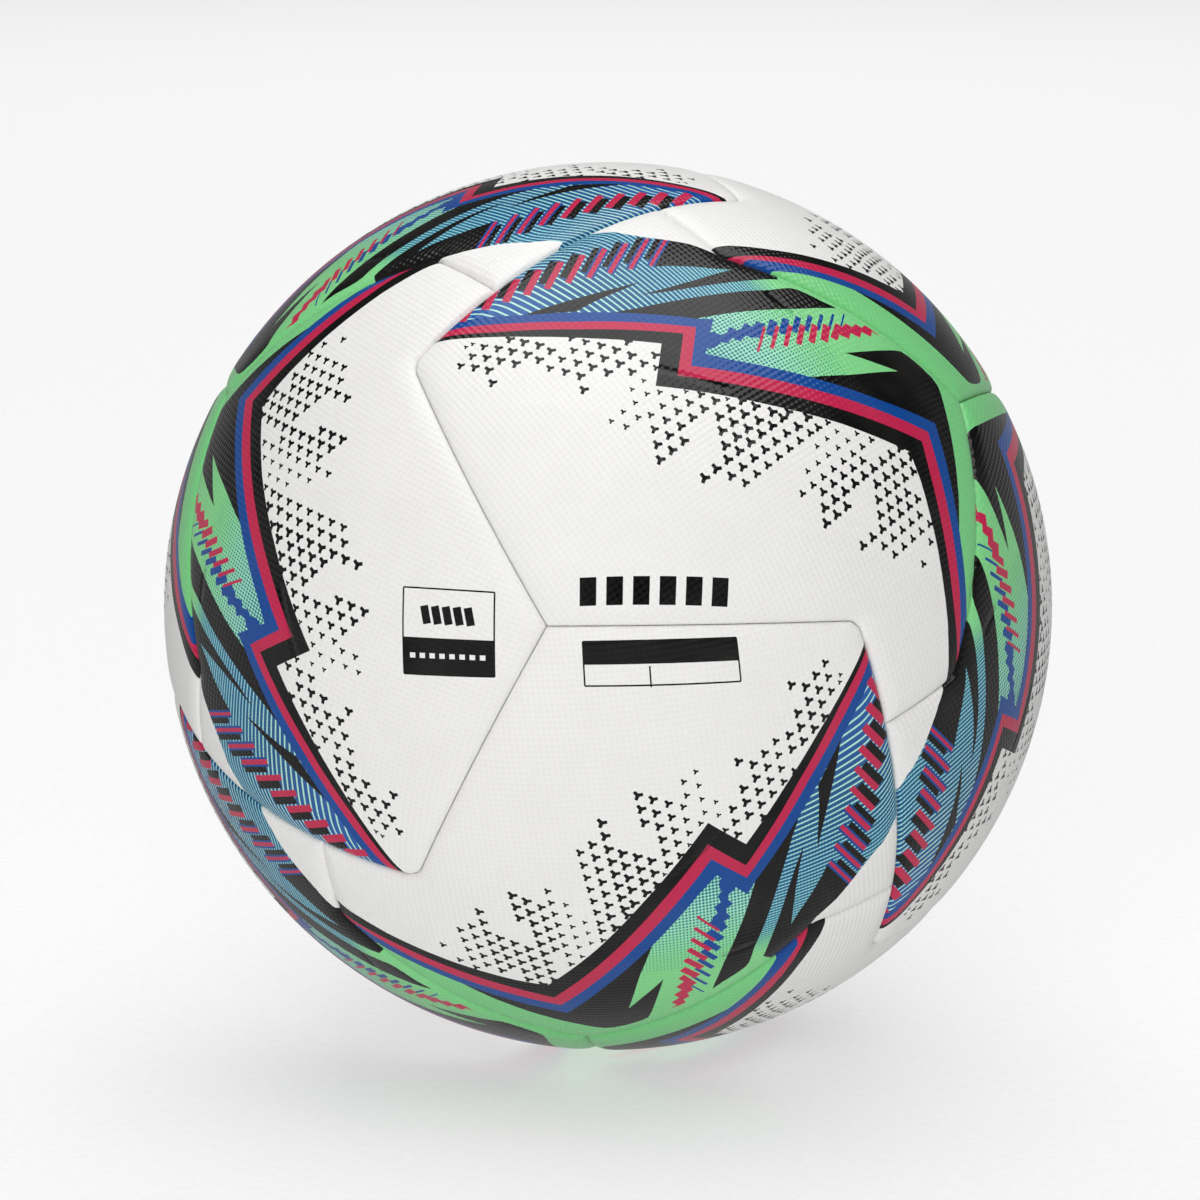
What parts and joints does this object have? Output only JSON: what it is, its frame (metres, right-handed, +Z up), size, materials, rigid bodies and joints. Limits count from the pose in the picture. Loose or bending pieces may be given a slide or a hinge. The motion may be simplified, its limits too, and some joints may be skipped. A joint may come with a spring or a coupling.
{
  "type": "soccer ball",
  "caption": "Inflated soccer ball with bonded printed cover panels over foam, a fabric carcass, and an air bladder with a needle valve.",
  "frame": {"origin": "the centre of the ball", "axes": "+Z is up as the ball lies, and the ball rests on the point of its cover straight below the centre; -Y faces the side with the three full panels that meet at one three-way corner"},
  "size_m": [0.2196, 0.2194, 0.2194],
  "materials": {
    "cover_skin": "semi-gloss polyurethane skin with a fine embossed grain, printed in black, crimson, blue, teal and mint",
    "foam": "matt closed-cell EVA foam",
    "carcass_fabric": "latex-coated woven cotton and polyester",
    "bladder_butyl": "smooth moulded butyl",
    "balance_rubber": "matt moulded rubber",
    "valve_rubber": "matt moulded butyl",
    "valve_core_silicone": "smooth pale silicone-coated rubber"
  },
  "bodies": {
    "root": {"cover_panel_01": "cover_skin", "cover_panel_02": "cover_skin", "cover_panel_03": "cover_skin", "cover_panel_04": "cover_skin", "cover_panel_05": "cover_skin", "cover_panel_06": "cover_skin", "cover_panel_07": "cover_skin", "cover_panel_08": "cover_skin", "cover_panel_09": "cover_skin", "cover_panel_10": "cover_skin", "cover_panel_11": "cover_skin", "cover_panel_12": "cover_skin", "foam_backing_01": "foam", "foam_backing_02": "foam", "foam_backing_03": "foam", "foam_backing_04": "foam", "foam_backing_05": "foam", "foam_backing_06": "foam", "foam_backing_07": "foam", "foam_backing_08": "foam", "foam_backing_09": "foam", "foam_backing_10": "foam", "foam_backing_11": "foam", "foam_backing_12": "foam", "carcass": "carcass_fabric", "bladder": "bladder_butyl", "balance_patch": "balance_rubber", "valve_body": "valve_rubber", "valve_core": "valve_core_silicone"}
  },
  "joints": []
}
